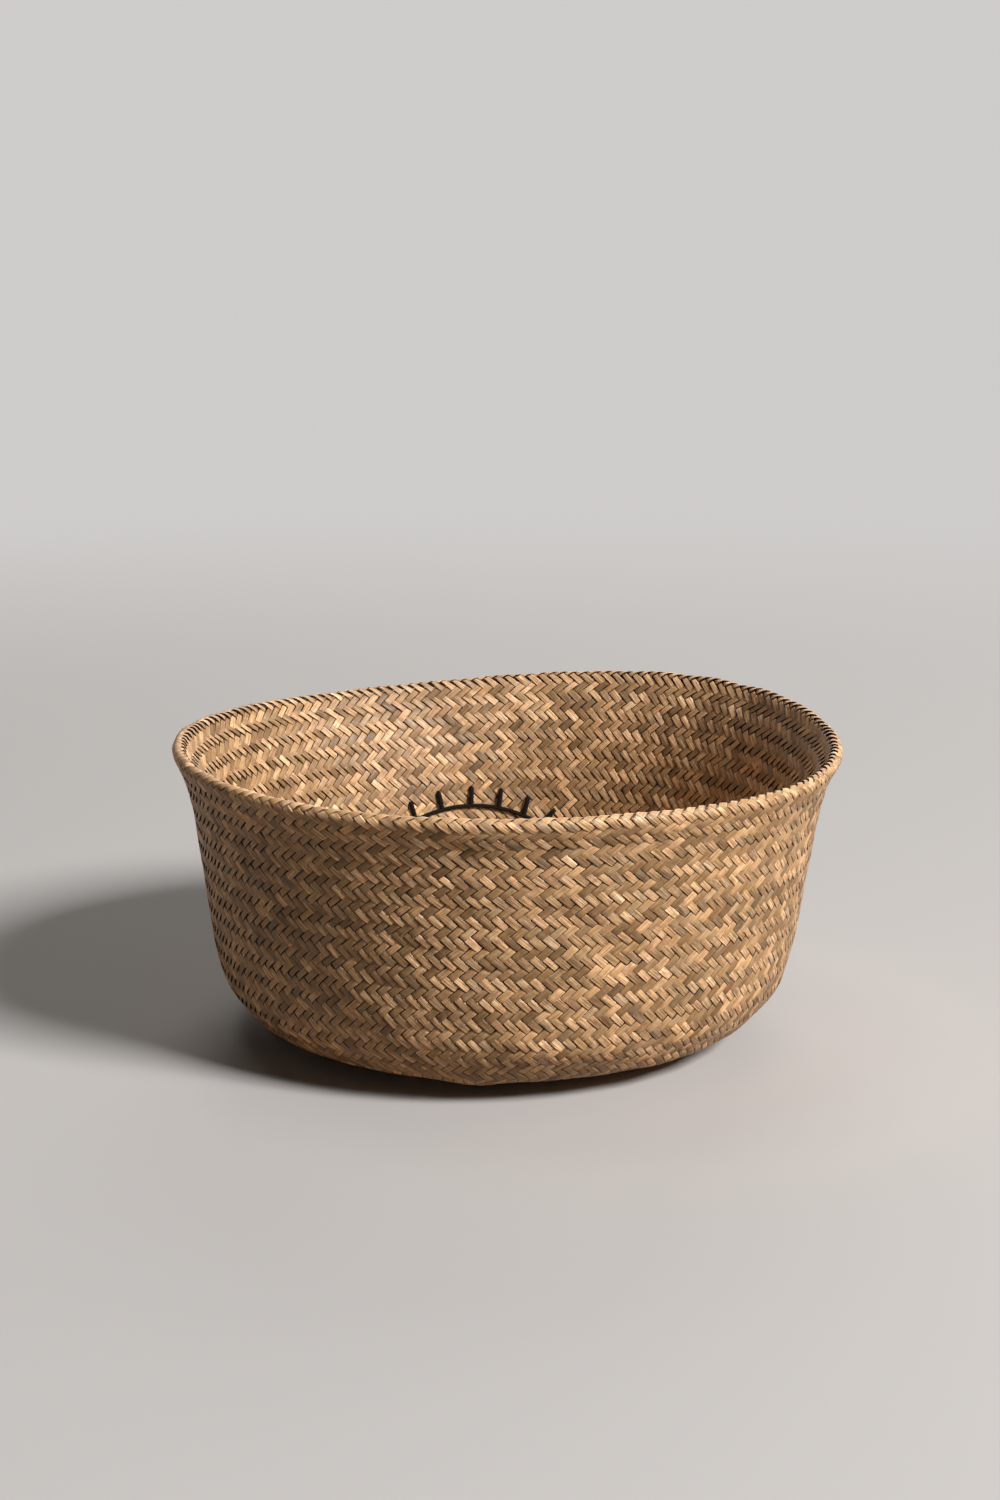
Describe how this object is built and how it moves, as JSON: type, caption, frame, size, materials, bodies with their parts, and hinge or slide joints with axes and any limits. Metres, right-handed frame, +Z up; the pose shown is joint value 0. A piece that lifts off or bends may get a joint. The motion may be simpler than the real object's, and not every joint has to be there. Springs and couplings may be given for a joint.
{
  "type": "belly basket",
  "caption": "Round belly basket plaited from flat natural strips, its upper half pushed down inside to make a wide double-walled bowl with a stitched closed eye on the inner wall.",
  "frame": {"origin": "on the floor, at the middle of the bounding box's bottom face, which is under the middle of the rim", "axes": "+Z up along the basket's axis, -Y towards the picture's camera, so that the stitched eye is on the +Y side of the inner wall"},
  "size_m": [0.4022, 0.3977, 0.1862],
  "materials": {
    "plait_outer": "plaited dried grass strips, satin, fine lengthwise grain",
    "plait_rim": "plaited dried grass strips bent over the fold",
    "plait_inner": "plaited dried grass strips, satin, fine lengthwise grain",
    "plait_hem": "strip ends turned back into a bead",
    "black_yarn": "matte twisted yarn"
  },
  "bodies": {
    "basket": {"woven_base": "plait_outer", "shoulder": "plait_outer", "outer_wall": "plait_outer", "rim_fold": "plait_rim", "inner_wall": "plait_inner", "lid_stitch": "black_yarn", "lash_1": "black_yarn", "lash_2": "black_yarn", "lash_3": "black_yarn", "lash_4": "black_yarn", "lash_5": "black_yarn", "lash_6": "black_yarn"},
    "mouth": {"mouth_hem": "plait_hem"}
  },
  "joints": [
    {"name": "unfold", "type": "slide", "parent": "basket", "child": "mouth", "axis": [0, 0, 1], "range_m": [0, 0.27], "deforming": ["inner_wall", "lid_stitch", "lash_1", "lash_2", "lash_3", "lash_4", "lash_5", "lash_6"]}
  ]
}
